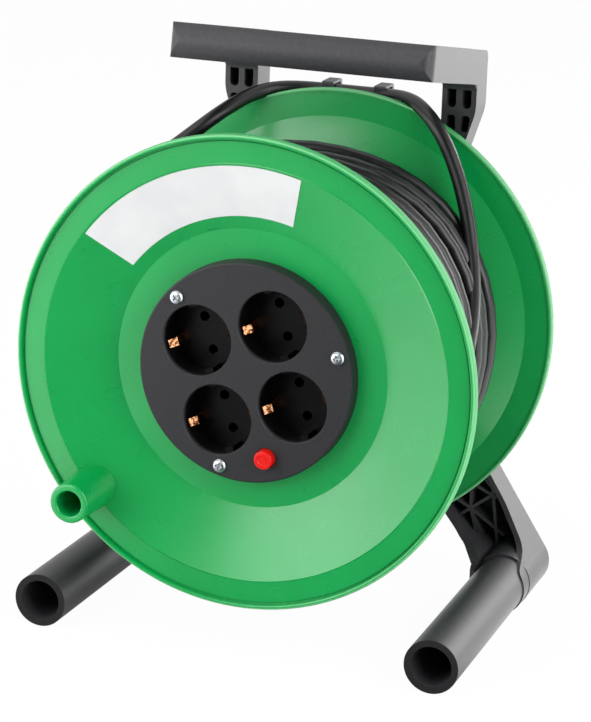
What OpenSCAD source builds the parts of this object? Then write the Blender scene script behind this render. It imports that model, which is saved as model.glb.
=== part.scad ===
// Extension cord reel: a two-flange drum with four earthed socket outlets, turned by a
// knob on the front flange, on a moulded X frame with two tube feet and a carry handle.
// Millimetres. +Z up, the outlets face -Y, the ground is z = 0.

/* [Drum] */
// Outer diameter of both flanges
flange_d = 265; // [245:1:275]
// Width of the drum over its two rims
drum_w = 156; // [140:1:176]
// Height of the drum axis above the ground
axis_z = 162; // [156:1:185]
// Depth of the dished middle below the rim edge
dish_depth = 17; // [12:0.5:24]
// Diameter of the flat ring round the sockets
ring_d = 157; // [150:1:176]
// Inner diameter of the flat band under the rim
band_d = 233; // [215:1:236]
// Thickness of the flange sheet
sheet_t = 2.2; // [1.8:0.1:3]
// Height of the rim lip above the band
lip_h = 2.2; // [1.6:0.1:4]
// Thickness of the rim lip
lip_t = 2.6; // [2:0.2:4]
// How far the rim's edge reaches past the back of the sheet
rim_skirt = 0.6; // [0.2:0.1:3]
// Clearance between the plate screws' posts and the barrel
post_gap = 0.2; // [0.1:0.1:3]
// Wall of the winding barrel
barrel_wall = 3; // [2.4:0.2:4]

/* [Crank knob] */
// Distance of the knob from the drum axis
knob_r = 116; // [108:0.5:117]
// Direction of the knob, counter-clockwise from the right
knob_angle = -138.8; // [-170:0.1:-110]
// How far the knob stands out past the rim
knob_reach = 28.4; // [20:0.2:45]
// Outer diameter of the knob at its open end
knob_d = 22.6; // [18:0.2:26]
// Bore of the hollow knob
knob_bore_d = 14.6; // [10:0.2:17]

/* [Socket insert] */
// How far the plate laps over the edge of the flange's opening
plate_lap = 1.8; // [1.2:0.1:6]
// Height of the plate above the flange ring
plate_h = 9.6; // [7:0.2:14]
// Thickness of the plate
plate_t = 3; // [2.4:0.2:4]
// Turn of the socket pattern about the drum axis
insert_angle = 16.6; // [0:0.1:45]
// Web between two neighbouring recesses
recess_gap = 5.5; // [4.2:0.1:7]
// Inner diameter of a socket recess
recess_d = 39.7; // [39:0.1:40.2]
// Depth of a socket recess
recess_depth = 17.8; // [17:0.1:19]
// Spacing of the pin holes
pin_pitch = 19; // [18.8:0.1:19.2]
// Length of the plug pins that a socket takes
pin_len = 19; // [18:0.1:19.5]
// Diameter of a pin hole
pin_hole_d = 5.6; // [5.2:0.1:6.4]
// Distance of the reset button from the inner face of the barrel
button_inset = 12.2; // [11:0.1:13.6]
// Diameter of the reset button
button_d = 11.2; // [9:0.2:12]
// Height of the reset button above the plate
button_h = 5; // [3.5:0.1:7]
// Travel of the reset button
button_travel = 2.5; // [1.5:0.1:3]

/* [Frame] */
// Gap between the drum's rear rim and the frame's front face
frame_gap = 7.5; // [6:0.5:17]
// Depth of the frame, front to back
frame_depth = 19.5; // [16:0.5:26]
// Wall of the frame's channel
frame_wall = 3; // [2.4:0.2:4]
// Thickness of the lattice ribs
rib_t = 1.8; // [1.2:0.2:2.6]
// Half width over the uprights and the handle
upright_x = 77; // [74:0.5:84]
// Width of one upright
upright_w = 20.5; // [19:0.5:24]
// Height of the top of the uprights
upright_top = 322.4; // [318:0.5:340]
// Height where the uprights bend towards the hub
knee_z = 286; // [282:1:292]
// Half width of the frame at its waist
waist_x = 38; // [34:1:42]
// Height of the arch between the feet
arch_h = 61; // [50:1:68]
// Radius of the hub disc
hub_r = 40; // [37:1:44]

/* [Feet] */
// How far the foot tubes' axes stand inside the flange's edge, at their front ends
foot_inset = 16.3; // [11:0.1:18]
// Outer diameter of a foot tube
tube_d = 30.8; // [28:0.2:33]
// Wall of a foot tube
tube_wall = 3.75; // [2.5:0.25:5]
// How far the tube ends stand in front of the drum centre
tube_front = 80.7; // [60:0.5:100]
// Outward splay of each foot tube, in degrees
foot_splay = 0.6; // [0:0.1:1.2]
// Wall of the foot socket round the tube
socket_wall = 1.2; // [1:0.1:2.4]

/* [Handle] */
// Upward slope of the handle arms, in degrees
handle_pitch = 10; // [0:0.5:16]
// Length of the arms along their slope
handle_reach = 82.9; // [70:0.5:95]
// Thickness of the handle
handle_t = 19.8; // [17:0.2:20]
// Depth of the grip, front to back
grip_depth = 27; // [22:0.5:34]
// How far the middle of the grip bulges forward
grip_bulge = 5; // [2:0.25:7]

/* [Axle] */
// Diameter of the axle spindle
spindle_d = 28; // [24:0.5:32]
// Running clearance of the drum hub on the spindle, on the radius
spindle_fit = 0.08; // [0.03:0.01:0.12]
// End play of the drum at each end of the hub
end_play = 0.4; // [0.2:0.05:0.8]

/* [Cable] */
// Outer diameter of the three-core lead
cord_d = 8.4; // [7.6:0.1:9]
// Outer radius of the wound cable
winding_r = 100; // [90:1:104]

/* [Hidden] */
$fn = 64;

// Colours
GREEN = "#19A552";
BLACK_PLASTIC = "#37363A";
PLATE_GREY = "#464649";
CUP_BLACK = "#1B1B1D";
BRASS = "#BE8246";
ZINC = "#C9CED6";
RED = "#F03C2D";
LABEL_WHITE = "#F4F4F2";
CORD_BLACK = "#2A2A2D";
STEEL = "#9EA3A8";

// Small fits and overlaps
fit = 0.05;        // sliding fit, on the radius
seat = 0.2;        // gap between pieces of one body that do not carry each other
eps = 0.01;        // how far a cutter runs past a face

// Drum, in its own frame: +z forward along the axis, y up
flange_r = flange_d / 2;
ring_r = ring_d / 2;
band_r = band_d / 2;
rim_h = drum_w / 2;
frame_front = rim_h + frame_gap;
band_h = rim_h - lip_h;
ring_h = rim_h - dish_depth;
crease = 0.5;
groove = 0.6;
skirt_t = 2;
rim_w = lip_h + crease + sheet_t + rim_skirt;
lip_r = flange_r - lip_t;
cone_slope = (band_h - ring_h) / (band_r - ring_r);
inner_slope = (band_h - crease - ring_h) / (band_r - ring_r);
collar_t = 2.5;
collar_h = 6;
knob_draft = 1.6;

// Socket insert: the screw posts stand beside the cups, and the barrel goes round them
cup_wall = 1.5;
cup_r = recess_d / 2 + cup_wall;
socket_pitch = recess_d + recess_gap;
post_r = 4.5;
post_turn = 120;
post_near = socket_pitch / 2 * (sin(post_turn) - cos(post_turn));
post_side = socket_pitch / 2 * (sin(post_turn) + cos(post_turn));
plate_screw_r = post_near + sqrt(pow(cup_r + post_r + 0.12, 2) - pow(post_side, 2));
barrel_in = plate_screw_r + post_r + post_gap;
barrel_r = barrel_in + barrel_wall;
plate_r = barrel_in + plate_lap;
button_r = barrel_in - button_inset;
plate_face = ring_h + plate_h;
plate_back = plate_face - plate_t;
plate_wall = 2.5;
cup_floor = plate_face - recess_depth;
floor_t = 2;
carrier_t = 2.5;
boss_r = plate_r - plate_wall - plate_screw_r + 0.4;
post_len = 30;
back_post = 20;
ledge = 2.2;
screw_head_r = 3.75;
screw_head_h = 2.2;
screw_shank_r = 1.9;
button_shaft_r = 3;
button_collar_r = 7;
button_collar_t = 1.6;
breaker_w = 15;
button_guide = 14;
breaker_top = plate_back - button_collar_t - button_travel - 1.2;
sleeve_r = 3.6;
bar_t = 1.2;
carrier_h = cup_floor - pin_len - 1 - bar_t - carrier_t;
bar_w = 5;
strip_w = 4.6;
strip_t = 0.8;

// Axle
spindle_r = spindle_d / 2;
hub_bore_r = spindle_r + spindle_fit;
hub_wall = 6;
spindle_back = frame_front - 13.5;
spindle_flange_t = 4;
spindle_flange_r = 31;
spindle_front = 22;
spindle_screw_r = 26;
washer_r = 19;
washer_t = 2;
axle_screw_r = 3.9;
axle_hole = 36;
hub_back = spindle_back - spindle_flange_t - end_play;
hub_front = spindle_front + end_play;
barrel_screw_r = barrel_in - 6.2;
barrel_screw_at = [67.5, 157.5, 247.5, 337.5];

// Frame
frame_back = frame_front + frame_depth;
web_front = frame_back - frame_wall;
rib_front = frame_front + 2;
tube_r = tube_d / 2;
foot_x = flange_r - foot_inset;
tube_end = frame_back - 6.2;
bore_r = tube_r + fit;
foot_in = (tube_end / 2 + frame_front / 2 + tube_front) * tan(foot_splay);
foot_cx = foot_x - foot_in;
foot_r = bore_r + socket_wall;
foot_front = frame_front - 35;
foot_clear = 0.6;
slot_w = 14;
bar_top = 285;
bar_h = 20;
outer_slope = (foot_cx + 0.8375 * foot_r - waist_x) / (axis_z - tube_r - 0.546 * foot_r);
leg_u = [outer_slope, -1] / norm([outer_slope, 1]);
leg_len = (axis_z - tube_r - 0.546 * foot_r) * norm([outer_slope, 1]);
cell = 22;
head_z = upright_top - handle_t - 1.5;
window_low = axis_z + hub_r - 1.5;
cord_lie = bar_top + cord_d / 2 + 0.2;
hook_x = [-13.4, 18.5];
hook_w = 7;
hook_t = 1.5;
saddle_x = 34;         // the bar under the lead is level up to here
saddle_drop = 9;       // and lies this much lower beside the uprights
rib_w = 3.6;           // mid rib and cross rib of an upright
pocket_w = (upright_w - 2 * frame_wall - rib_w) / 2;
pocket_top = 287.7;    // foot of the upper pockets, above the cross rib
pocket_low = 271;
arm_window = [46, 15]; // half widths of the windows, at the wide and at the narrow end
leg_window = [37, 9];
hub_boss_r = 33;
hub_recess_r = 20;
hub_recess = 15;
ring_front = foot_front + 11;

// Handle
grip_y = frame_front - handle_reach * cos(handle_pitch);
handle_corner = 7;
grip_back_r = 4;
handle_screw_z = upright_top - handle_t / 2 - 1;
handle_screw_r = 2.4;
handle_screw_len = 44;

// Cable and plug
cord_r = cord_d / 2;
plug_r = 18.6;
pin_r = 2.4;
pin_neck_r = 1.9;
plug_x = -136;
plug_y = 20;
plug_top = 186;
plug_face = 134;

// Whole model is centred front to back between the knob and the frame's back
knob_end = rim_h + knob_reach;
mid_y = (frame_back - knob_end) / 2;

// Route of the free end of the cable: [x, y, z] measured from the drum centre plane
cord_route = [
    [104.6, -2.4, 170.3], [104.1, 5.1, 175.2], [102.4, 14.3, 184.2], [99.8, 23.5, 193.2],
    [96.6, 31.9, 202.3], [93.4, 38.5, 210.7], [90.8, 43.5, 218.7], [87.5, 47.5, 231],
    [83, 52.5, 242], [79.5, 56, 249], [76, 58.5, 256.5], [72, 60.5, 264], [68.5, 61.5, 271],
    [62.8, 63.5, 279.3], [55.7, 66, 286.3], [51.5, 68.5, 288.5], [47.3, 73, 290.5], [43.6, 77.5, 291.8],
    [36.5, 84, 291.9], [23.5, 90, cord_lie + 0.4], [5, 92, cord_lie], [-14, 92, cord_lie],
    [-25.5, 90, cord_lie + 0.2], [-36, 86.5, 290.5], [-46.5, 81.5, 290.2], [-51, 75, 289.4],
    [-53.2, 68, 287.4], [-55.2, 60, 286], [-59, 53, 284], [-65.8, 42, 277.7], [-74.6, 34, 269.2],
    [-86, 29.5, 259.5], [-99.9, 27, 248.2], [-112.9, 25, 236], [-123.7, 23, 223],
    [-131.3, 21.5, 210.1], [-135.1, 20.5, 198.8], [-135.9, plug_y, 192.4], [plug_x, plug_y, plug_top + 0.3]
];

// ---------------------------------------------------------------- helpers

function unit(v) = v / norm(v);

// Points of one rounded corner: p = [x, y, radius]
function corner(a, p, b, n) =
    p[2] == 0 ? [[p.x, p.y]] :
    let (
        u = unit([a.x - p.x, a.y - p.y]),
        v = unit([b.x - p.x, b.y - p.y]),
        half = acos(u * v) / 2,
        c = [p.x, p.y] + unit(u + v) * p[2] / sin(half),
        s = [p.x, p.y] + u * p[2] / tan(half) - c,
        e = [p.x, p.y] + v * p[2] / tan(half) - c,
        a0 = atan2(s.y, s.x),
        turn = atan2(s.x * e.y - s.y * e.x, s * e)
    )
    [for (i = [0:n]) c + p[2] * [cos(a0 + turn * i / n), sin(a0 + turn * i / n)]];

// Polygon with a radius at each corner
function rounded(pts, n = 5) =
    let (m = len(pts))
    [for (i = [0:m - 1]) each corner(pts[(i + m - 1) % m], pts[i], pts[(i + 1) % m], n)];

module placed() translate([0, -mid_y, 0]) children();

// Drum frame: local z runs forward, local y runs up
module on_axis() placed() translate([0, 0, axis_z]) rotate([90, 0, 0]) children();

module insert_frame() on_axis() rotate(insert_angle) children();

// Extrudes an outline in x and z from y0 back to y1
module slab(y0, y1) translate([0, y1, 0]) rotate([90, 0, 0]) linear_extrude(y1 - y0) children();

// Extrudes an outline in y and z over the width x0 to x1
module side_slab(x0, x1) translate([x0, 0, 0]) rotate([90, 0, 90]) linear_extrude(x1 - x0) children();

module both_sides() {
    children();
    mirror([1, 0, 0]) children();
}

module tube(r_out, r_in, h) {
    difference() {
        cylinder(h = h, r = r_out);
        translate([0, 0, -eps]) cylinder(h = h + 2 * eps, r = r_in);
    }
}

// Straight bar between two points of an outline
module bar(a, b, w) {
    d = b - a;
    translate(a) rotate(atan2(d.y, d.x)) translate([-w / 2, -w / 2]) square([norm(d) + w, w]);
}

// Pan head screw with a cross recess, head on top of z = 0, shank below
module pan_screw(head_r, head_h, shank_r, len) {
    difference() {
        rotate_extrude()
            polygon([
                [0, -len], [shank_r * 0.5, -len], [shank_r, -len + shank_r], [shank_r, 0],
                [head_r, 0], [head_r, head_h * 0.45], [head_r * 0.82, head_h * 0.85],
                [head_r * 0.5, head_h], [0, head_h]
            ]);
        translate([0, 0, head_h * 0.4]) linear_extrude(head_h)
            for (a = [0, 90]) rotate(a) square([head_r * 1.15, head_r * 0.26], center = true);
    }
}

// ---------------------------------------------------------------- frame

leg_top = [waist_x, axis_z];

// Arch between the legs: rounded crown, flaring out on to the foot tubes
function arch_points() =
    let (
        edge = foot_cx - foot_r,
        side = [
            [edge, -foot_r, 0], [edge, tube_r + 11, 0], [edge - 14, arch_h / 2 + 3.3, 20],
            [edge * 0.58, arch_h - 1, 30]
        ]
    )
    rounded(concat(
        [for (p = side) [-p.x, p.y, p[2]]],
        [for (i = [len(side) - 1:-1:0]) side[i]]
    ));

// Outline of the whole frame, seen from the front
module frame_outline() {
    difference() {
        union() {
            both_sides() {
                // Upright and upper arm
                polygon(rounded([
                    [upright_x - upright_w, upright_top + 1, 0], [upright_x, upright_top + 1, 0],
                    [upright_x, knee_z, 30], [waist_x, axis_z, 0], [0, axis_z, 0],
                    [0, bar_top, 0], [saddle_x, bar_top, 12], [saddle_x + 14, bar_top - saddle_drop, 5],
                    [upright_x - upright_w, bar_top - saddle_drop, 5]
                ]));
                // Leg down to the foot
                polygon([
                    [0, axis_z], leg_top, leg_top + leg_u * leg_len, [foot_cx, tube_r], [0, tube_r]
                ]);
                translate([foot_cx, tube_r]) circle(r = foot_r);
            }
            translate([0, axis_z]) circle(r = hub_r);
        }
        polygon(arch_points());
        translate([-flange_r * 1.5, foot_clear - 4 * foot_r]) square([flange_r * 3, 4 * foot_r]);
    }
}

// Openings of the frame: a window between the upper arms and one between the legs
module frame_windows() {
    high = bar_top - bar_h;
    low = arch_h + 27;
    under_hub = axis_z - hub_r + 8;
    polygon(rounded([
        [-arm_window.x, high, 8], [arm_window.x, high, 8], [arm_window.y, window_low, 8],
        [-arm_window.y, window_low, 8]
    ]));
    polygon(rounded([
        [-leg_window.x, low, 7], [leg_window.x, low, 7], [leg_window.y, under_hub, 7],
        [-leg_window.y, under_hub, 7]
    ]));
}

// Side view of the frame: level front that runs forward to the foot socket
module frame_side() {
    drop = frame_depth * tan(handle_pitch);
    polygon(rounded([
        [frame_back, -eps, 0], [foot_front, -eps, 0], [foot_front, tube_d - 5, 4],
        [frame_front - 10, tube_d + 2.5, 14], [frame_front - 1.2, 56, 30], [frame_front, 82, 0],
        [frame_front, upright_top, 0], [frame_back, upright_top - drop, 5]
    ]));
}

// Ribs of a leg, seen from the front: a star of eight and the diagonals round it, each end given as
// [towards the middle from the foot tube's axis, up from the ground]
leg_star = [28.7, 47.9];
leg_star_ends = [
    [16, 57.9], [39.5, 39.6], [39.6, 53.5], [28.8, 76], [8, 34.5], [22.7, 27.1], [14.8, 18], [52, 60]
];
leg_diagonals = [
    [[39.5, 39.6], [8, 23]], [[27, 63], [14, 57]], [[15.8, 62], [11, 26]], [[43.5, 52], [39.5, 39.6]],
    [[28.8, 76], [52, 60]], [[28.8, 76], [15.8, 62]], [[45, 74], [28.8, 58.3]], [[50, 84], [28.8, 76]],
    [[36, 98], [28.8, 76]]
];

function from_foot(p) = [foot_cx - p.x, p.y];

// Diagonal lattice in the channels of the legs, the arms and the bar
module lattice() {
    both_sides() {
        for (p = leg_star_ends) bar(from_foot(leg_star), from_foot(p), rib_t);
        for (d = leg_diagonals) bar(from_foot(d[0]), from_foot(d[1]), rib_t);
        bar([upright_x - 10, knee_z - 16], [waist_x - 2, axis_z + 20], rib_t);
        for (k = [0:3]) {
            z = knee_z - 36 - cell * k;
            bar([72 - 7 * k, z + cell / 2], [46 - 7.5 * k, z - cell / 2], rib_t);
            bar([48 - 7.5 * k, z + cell / 2], [66 - 7 * k, z - cell / 2], rib_t);
        }
        bar([0, bar_top - bar_h], [18, bar_top], rib_t);
        bar([18, bar_top], [36, bar_top - bar_h], rib_t);
        bar([36, bar_top - bar_h], [52, bar_top], rib_t);
        bar([0, arch_h + 4], [22, arch_h + 28], rib_t);
        bar([22, arch_h + 28], [46, arch_h - 8], rib_t);
    }
}

// Four round-cornered pockets of an upright
module upright_pockets() {
    for (x = [upright_x - upright_w + frame_wall, upright_x - frame_wall - pocket_w]) {
        polygon(rounded([
            [x, head_z, 0], [x + pocket_w, head_z, 0], [x + pocket_w, pocket_top, 2.5],
            [x, pocket_top, 2.5]
        ]));
        drop = (x > upright_x - upright_w / 2) ? 3 : 0;
        polygon(rounded([
            [x, pocket_top - rib_w - 0.6, 2], [x + pocket_w, pocket_top - rib_w - 0.6, 2],
            [x + pocket_w - drop / 2, pocket_low + 3, 1.5], [x - drop / 4, pocket_low + 3, 1.5]
        ]));
    }
}

// Pocketed area inside the rim wall of the frame
module channel_area() {
    difference() {
        offset(delta = -frame_wall) frame_outline();
        offset(delta = frame_wall) frame_windows();
        translate([0, axis_z]) circle(r = hub_r - frame_wall);
        both_sides() translate([upright_x - upright_w - 1, pocket_low]) square([upright_w + 2, 90]);
    }
    both_sides() upright_pockets();
}

// Turns and places what is fixed to one foot tube; side is -1 or 1
module foot_frame(side) {
    translate([side * foot_x, -tube_front, tube_r]) rotate([0, 0, side * foot_splay])
        rotate([-90, 0, 0]) children();
}

tube_len = tube_front + tube_end;

// Screw through the inner side of a foot socket into the tube
module foot_screw_at(side) {
    translate([0, 0, tube_len - 14]) rotate([0, -90 * side, 0]) children();
}

// Hook over the lead, open to the front
module hook(x) {
    under = cord_lie + cord_d / 2 + 0.3;
    translate([x, 0, 0])
        side_slab(-hook_w / 2, hook_w / 2)
            polygon(rounded([
                [web_front - 4, bar_top - 4, 0], [web_front, bar_top - 4, 0],
                [web_front, under + hook_t, 2], [frame_front + 0.5, under + hook_t, 1],
                [frame_front + 0.5, under - 1.4, 0], [frame_front + 1.8, under - 1.4, 0],
                [frame_front + 1.8, under, 0.6], [web_front - 2.5, under, 1]
            ]));
}

module rear_frame() {
    color(BLACK_PLASTIC) placed() difference() {
        union() {
            intersection() {
                difference() {
                    slab(foot_front - 1, frame_back + 1) difference() {
                        frame_outline();
                        frame_windows();
                    }
                    slab(0, rib_front) channel_area();
                    slab(rib_front - eps, web_front) difference() {
                        channel_area();
                        lattice();
                    }
                }
                side_slab(-flange_r, flange_r) frame_side();
            }
            // Hub boss that carries the spindle
            slab(spindle_back, frame_front + 1) translate([0, axis_z]) circle(r = hub_boss_r);
            // Socket rings round the tubes, inside the channels
            for (side = [-1, 1]) {
                intersection() {
                    foot_frame(side) translate([0, 0, tube_front + ring_front])
                        cylinder(h = tube_end - ring_front + 3, r = foot_r);
                    side_slab(-flange_r, flange_r) translate([0, foot_clear])
                        square([frame_back - 1, 2 * foot_r]);
                }
            }
            for (x = hook_x) hook(x);
        }
        // Bores and bottom slots of the foot sockets
        for (side = [-1, 1]) {
            foot_frame(side) {
                cylinder(h = tube_len + fit, r = bore_r);
                translate([-slot_w / 2, 0, 0]) cube([slot_w, tube_r + 1, tube_len + fit]);
                foot_screw_at(side) {
                    cylinder(h = foot_r + 1, r = screw_shank_r);
                    translate([0, 0, foot_r]) cylinder(h = 5, r = screw_head_r + 0.4);
                }
            }
            // Handle screws, from the back
            translate([side * (upright_x - upright_w / 2), 0, handle_screw_z]) rotate([90, 0, 0]) {
                translate([0, 0, -frame_back - 1]) cylinder(h = 60, r = handle_screw_r + 0.2);
                translate([0, 0, -frame_back - 1]) cylinder(h = 4.5, r = 5);
            }
        }
        // Hub recess at the back, centre hole and spindle screw holes
        translate([0, 0, axis_z]) rotate([90, 0, 0]) {
            translate([0, 0, -frame_back - 1]) cylinder(h = hub_recess + 1, r = hub_recess_r);
            for (a = [45:90:315]) {
                rotate(a) translate([spindle_screw_r, 0, -spindle_back - 20])
                    cylinder(h = 21, r = screw_shank_r + fit);
            }
        }
    }
}

module foot_tube(side) {
    color(BLACK_PLASTIC) placed() foot_frame(side) difference() {
        tube(tube_r, tube_r - tube_wall, tube_len);
        foot_screw_at(side) cylinder(h = tube_r + 1, r = screw_shank_r + fit);
    }
}

module foot_tube_screws() {
    color(ZINC) placed() for (side = [-1, 1]) foot_frame(side)
        foot_screw_at(side) translate([0, 0, foot_r])
            pan_screw(screw_head_r, screw_head_h, screw_shank_r - fit, 8);
}

// ---------------------------------------------------------------- handle

module handle_plan() {
    inner = upright_x - upright_w;
    len = handle_reach + grip_bulge;
    difference() {
        polygon(rounded([
            [-upright_x, 8, 0], [-upright_x, -len, handle_corner],
            [upright_x, -len, handle_corner], [upright_x, 8, 0]
        ], 8));
        polygon(rounded([
            [-inner, 9, 0], [-inner, -handle_reach + grip_depth, 9],
            [inner, -handle_reach + grip_depth, 9], [inner, 9, 0]
        ], 6));
    }
}

// Section of the grip in the plane across it; y is along the arm, z is up
module grip_section() {
    bulge_r = (pow(handle_t / 2, 2) + pow(grip_bulge, 2)) / (2 * grip_bulge);
    intersection() {
        translate([-handle_reach - grip_bulge + bulge_r, -handle_t / 2]) circle(r = bulge_r);
        translate([-handle_reach - grip_bulge - 1, -handle_t]) square([bulge_r, handle_t]);
    }
    polygon(rounded([
        [-handle_reach, 0, 0], [-handle_reach, -handle_t, 0],
        [-handle_reach + grip_depth, -handle_t, grip_back_r],
        [-handle_reach + grip_depth, 0, grip_back_r]
    ]));
}

module arm_section() {
    polygon(rounded([
        [-handle_reach + grip_depth / 2, 0, 0], [-handle_reach + grip_depth / 2, -handle_t, 0],
        [8, -handle_t, 0], [8, 0, 0]
    ]));
}

// Fillet between the underside of an arm and the upright, in side view; both ends run into the arm
module arm_fillet() {
    under = upright_top - handle_t / cos(handle_pitch);
    reach = 6.5;
    run_in = 0.4;
    polygon(concat(
        [for (i = [0:6])
            let (t = i / 6)
            [
                frame_front + run_in - (reach + run_in) * t * t,
                under - reach * (1 - t) * (1 - t) + (reach * tan(handle_pitch) + run_in) * t * t
            ]],
        [[frame_front - reach, under + 3], [frame_front + 1, under + 3], [frame_front + 1, under - reach]]
    ));
}

module carry_handle() {
    color(BLACK_PLASTIC) placed() difference() {
        union() {
            translate([0, frame_front, upright_top]) rotate([-handle_pitch, 0, 0]) intersection() {
                translate([0, 0, -handle_t]) linear_extrude(handle_t) handle_plan();
                union() {
                    side_slab(-upright_x, upright_x) grip_section();
                    both_sides() side_slab(upright_x - upright_w - 10, upright_x) arm_section();
                }
            }
            both_sides() side_slab(upright_x - upright_w + seat, upright_x - seat) arm_fillet();
        }
        translate([-2 * upright_x, frame_front, upright_top - 60]) cube([4 * upright_x, 40, 90]);
        both_sides() translate([upright_x - upright_w / 2, frame_front + 1, handle_screw_z])
            rotate([90, 0, 0]) cylinder(h = 34, r = handle_screw_r + fit);
    }
}

module handle_screws() {
    color(ZINC) placed() both_sides()
        translate([upright_x - upright_w / 2, frame_back - 3.5, handle_screw_z])
            rotate([-90, 0, 0]) pan_screw(4.4, 2.6, handle_screw_r, handle_screw_len);
}

// ---------------------------------------------------------------- axle

module axle_spindle() {
    color(BLACK_PLASTIC) on_axis() difference() {
        union() {
            translate([0, 0, -spindle_back]) cylinder(h = spindle_flange_t, r = spindle_flange_r);
            translate([0, 0, -spindle_back]) cylinder(h = spindle_back - spindle_front, r = spindle_r);
        }
        translate([0, 0, -spindle_front - axle_hole]) cylinder(h = axle_hole + 1, r = axle_screw_r + fit);
        translate([0, 0, -spindle_back - eps]) cylinder(h = 12, r = spindle_r - 4);
        for (a = [45:90:315]) {
            rotate(a) translate([spindle_screw_r, 0, -spindle_back - 1])
                cylinder(h = spindle_flange_t + 2, r = screw_shank_r + fit);
        }
    }
}

module spindle_screws() {
    color(ZINC) on_axis() for (a = [45:90:315]) {
        rotate(a) translate([spindle_screw_r, 0, -spindle_back + spindle_flange_t])
            pan_screw(3.2, 1.8, screw_shank_r, 20);
    }
}

module retaining_washer() {
    color(STEEL) on_axis() translate([0, 0, -spindle_front]) tube(washer_r, axle_screw_r + 0.4, washer_t);
}

module axle_screw() {
    color(ZINC) on_axis() translate([0, 0, -spindle_front + washer_t]) {
        cylinder(h = 5, r = 6.5, $fn = 6);
        translate([0, 0, -30]) cylinder(h = 30 + eps, r = axle_screw_r);
    }
}

// ---------------------------------------------------------------- drum

// Section of a flange sheet from its opening to its rim, in radius and height
function flange_section(r_in) = [
    [r_in, ring_h - sheet_t], [ring_r, ring_h - sheet_t], [band_r, band_h - crease - sheet_t],
    [flange_r - skirt_t, band_h - crease - sheet_t], [flange_r - skirt_t, rim_h - rim_w],
    [flange_r, rim_h - rim_w], [flange_r, rim_h - 1.3], [flange_r - 0.4, rim_h - 0.5],
    [flange_r - 1.1, rim_h], [lip_r + 0.8, rim_h], [lip_r + 0.2, rim_h - 0.4],
    [lip_r, rim_h - 1], [lip_r, band_h - crease - groove], [lip_r - 0.9, band_h - crease - groove],
    [lip_r - 1.3, band_h - crease], [band_r + 0.6, band_h - crease], [band_r, band_h],
    [band_r - 0.8, band_h - 0.8 * cone_slope], [ring_r, ring_h], [r_in, ring_h]
];

module collar() {
    translate([0, 0, ring_h - sheet_t - collar_h])
        tube(barrel_r + fit + collar_t, barrel_r + fit, collar_h + 1);
}

// Hollow turning knob with a rounded mouth, a little wider at its foot
module knob_body() {
    r = knob_d / 2;
    base = ring_h;
    rotate_extrude()
        polygon(concat(
            [[0, base], [r + knob_draft, base]],
            [for (i = [0:5]) [r - 1.6 + 1.6 * cos(18 * i), knob_end - 1.6 + 1.6 * sin(18 * i)]],
            [for (i = [0:4]) [knob_bore_d / 2 + 1 - 1 * sin(22.5 * i), knob_end - 1 + 1 * cos(22.5 * i)]],
            [[knob_bore_d / 2 - 0.6, band_h], [0, band_h]]
        ));
}

module front_flange() {
    color(GREEN) on_axis() {
        rotate_extrude($fn = 128) polygon(flange_section(barrel_in));
        collar();
        difference() {
            rotate(knob_angle) translate([knob_r, 0, 0]) knob_body();
            // Keeps the knob's foot in front of the sheet
            rotate_extrude($fn = 128)
                polygon([
                    [0, 0], [flange_r + 20, 0], [flange_r + 20, band_h - crease - sheet_t / 2],
                    [band_r, band_h - crease - sheet_t / 2], [ring_r, ring_h - sheet_t / 2],
                    [0, ring_h - sheet_t / 2]
                ]);
        }
    }
}

module rear_flange() {
    color(GREEN) on_axis() mirror([0, 0, 1]) difference() {
        union() {
            rotate_extrude($fn = 128) polygon(flange_section(hub_bore_r + hub_wall / 2));
            collar();
            translate([0, 0, hub_front]) cylinder(h = hub_back - hub_front, r = hub_bore_r + hub_wall);
            // Stiffening ribs behind the flange
            for (a = [0:45:315]) {
                rotate(a) translate([hub_bore_r + 3, -1.25, ring_h - eps])
                    cube([barrel_in - hub_bore_r - 6, 2.5, 3.8]);
            }
        }
        translate([0, 0, hub_front - 1]) cylinder(h = hub_back - hub_front + 2, r = hub_bore_r);
        for (a = barrel_screw_at) {
            rotate(a) translate([barrel_screw_r, 0, ring_h - sheet_t - 1])
                cylinder(h = sheet_t + 2, r = screw_shank_r + 0.2);
        }
    }
}

entry_angle = 202;
entry_h = -44;
grommet_r = 6.4;

module drum_barrel() {
    top = ring_h - sheet_t;
    color(GREEN) on_axis() difference() {
        union() {
            translate([0, 0, -top]) tube(barrel_r, barrel_in, 2 * top);
            // Ledge that carries the contact carrier
            translate([0, 0, carrier_h - 3]) tube(barrel_in + 0.5, barrel_in - ledge, 3);
            // Posts for the plate screws
            for (a = [0:120:240]) {
                rotate(a + insert_angle) {
                    translate([plate_screw_r, 0, ring_h - 0.1 - post_len]) cylinder(h = post_len, r = post_r);
                    translate([plate_screw_r, -1.2, ring_h - 0.1 - post_len])
                        cube([barrel_in - plate_screw_r + 1, 2.4, post_len - sheet_t - 0.2]);
                }
            }
            // Posts for the rear flange screws
            for (a = barrel_screw_at) {
                rotate(a) {
                    translate([barrel_screw_r, 0, -top]) cylinder(h = back_post, r = post_r);
                    translate([barrel_screw_r, -1.2, -top])
                        cube([barrel_in - barrel_screw_r + 1, 2.4, back_post]);
                }
            }
        }
        for (a = [0:120:240]) {
            rotate(a + insert_angle) translate([plate_screw_r, 0, ring_h - post_len + 4])
                cylinder(h = post_len, r = screw_shank_r + fit);
        }
        for (a = barrel_screw_at) {
            rotate(a) translate([barrel_screw_r, 0, -top - 1]) cylinder(h = back_post - 3, r = screw_shank_r + fit);
        }
        rotate(entry_angle) translate([barrel_in - 6, 0, entry_h]) rotate([0, 90, 0])
            cylinder(h = 12, r = grommet_r + fit);
    }
}

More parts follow.
